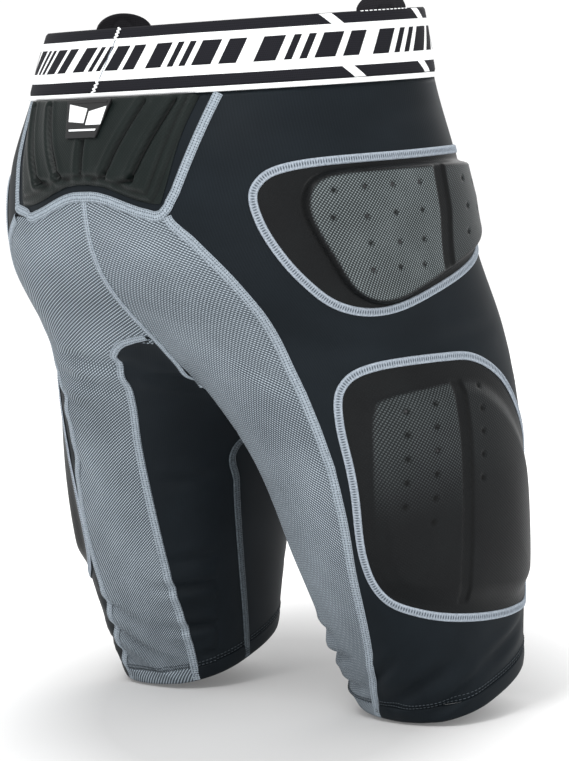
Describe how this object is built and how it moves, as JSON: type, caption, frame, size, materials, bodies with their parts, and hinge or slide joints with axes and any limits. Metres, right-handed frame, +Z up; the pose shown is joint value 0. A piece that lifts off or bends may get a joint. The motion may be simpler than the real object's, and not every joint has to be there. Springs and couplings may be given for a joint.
{
  "type": "padded impact shorts",
  "caption": "Compression shorts with moulded foam pads at the tail bone, hips and thighs, a wide woven waistband and flatlock seams",
  "frame": {"origin": "centre of the waist opening, at the height of the waistband's upper edge", "axes": "+Z up, -Y the front of the wearer, -X the wearer's right side"},
  "size_m": [0.414, 0.3042, 0.5169],
  "materials": {
    "grey_mesh": "diagonal warp-knit mesh, matte",
    "black_lycra": "smooth compression knit, faint sheen",
    "moulded_foam": "fabric-faced foam, heat moulded with channels",
    "pocket_cover": "smooth stretch cover over the pad",
    "foam": "closed-cell foam, perforated",
    "seam_thread": "flatlock thread, ribbed",
    "woven_elastic": "woven elastic, white with black stripes",
    "webbing": "narrow black webbing",
    "rubber_label": "moulded rubber badge, satin"
  },
  "bodies": {
    "pelvis": {"waistband": "woven_elastic", "waist_piping": "woven_elastic", "pull_tab_left": "webbing", "pull_tab_right": "webbing", "lumbar_lining": "black_lycra", "lumbar_pad": "moulded_foam", "label_patch": "rubber_label", "lumbar_seam": "seam_thread", "centre_back_seam": "seam_thread", "centre_front_seam": "seam_thread", "seat_panel_right": "grey_mesh", "hip_panel_right": "black_lycra", "front_panel_right": "black_lycra", "hip_pad_right": "foam", "hip_pocket_right": "pocket_cover", "hip_pocket_seam_right": "seam_thread", "seat_seam_right": "seam_thread", "leg_flex_right": "black_lycra", "seat_panel_left": "grey_mesh", "hip_panel_left": "black_lycra", "front_panel_left": "black_lycra", "hip_pad_left": "foam", "hip_pocket_left": "pocket_cover", "hip_pocket_seam_left": "seam_thread", "seat_seam_left": "seam_thread", "leg_flex_left": "black_lycra"},
    "leg_right": {"leg_back_panel_right": "grey_mesh", "leg_inner_panel_right": "black_lycra", "leg_front_panel_right": "black_lycra", "leg_side_panel_right": "black_lycra", "thigh_pad_right": "foam", "thigh_pocket_right": "pocket_cover", "thigh_pocket_seam_right": "seam_thread", "leg_outer_seam_right": "seam_thread", "leg_inner_back_seam_right": "seam_thread", "leg_inner_front_seam_right": "seam_thread", "hem_band_right": "black_lycra"},
    "leg_left": {"leg_back_panel_left": "grey_mesh", "leg_inner_panel_left": "black_lycra", "leg_front_panel_left": "black_lycra", "leg_side_panel_left": "black_lycra", "thigh_pad_left": "foam", "thigh_pocket_left": "pocket_cover", "thigh_pocket_seam_left": "seam_thread", "leg_outer_seam_left": "seam_thread", "leg_inner_back_seam_left": "seam_thread", "leg_inner_front_seam_left": "seam_thread", "hem_band_left": "black_lycra"}
  },
  "joints": [
    {"name": "leg_swing_right", "type": "hinge", "parent": "pelvis", "child": "leg_right", "pos_m": [0, -0.03, -0.255], "axis": [-1, 0, 0], "range_deg": [0, 25], "deforming": ["leg_flex_right"]},
    {"name": "leg_swing_left", "type": "hinge", "parent": "pelvis", "child": "leg_left", "pos_m": [0, -0.03, -0.255], "axis": [-1, 0, 0], "range_deg": [0, 25], "deforming": ["leg_flex_left"]}
  ]
}
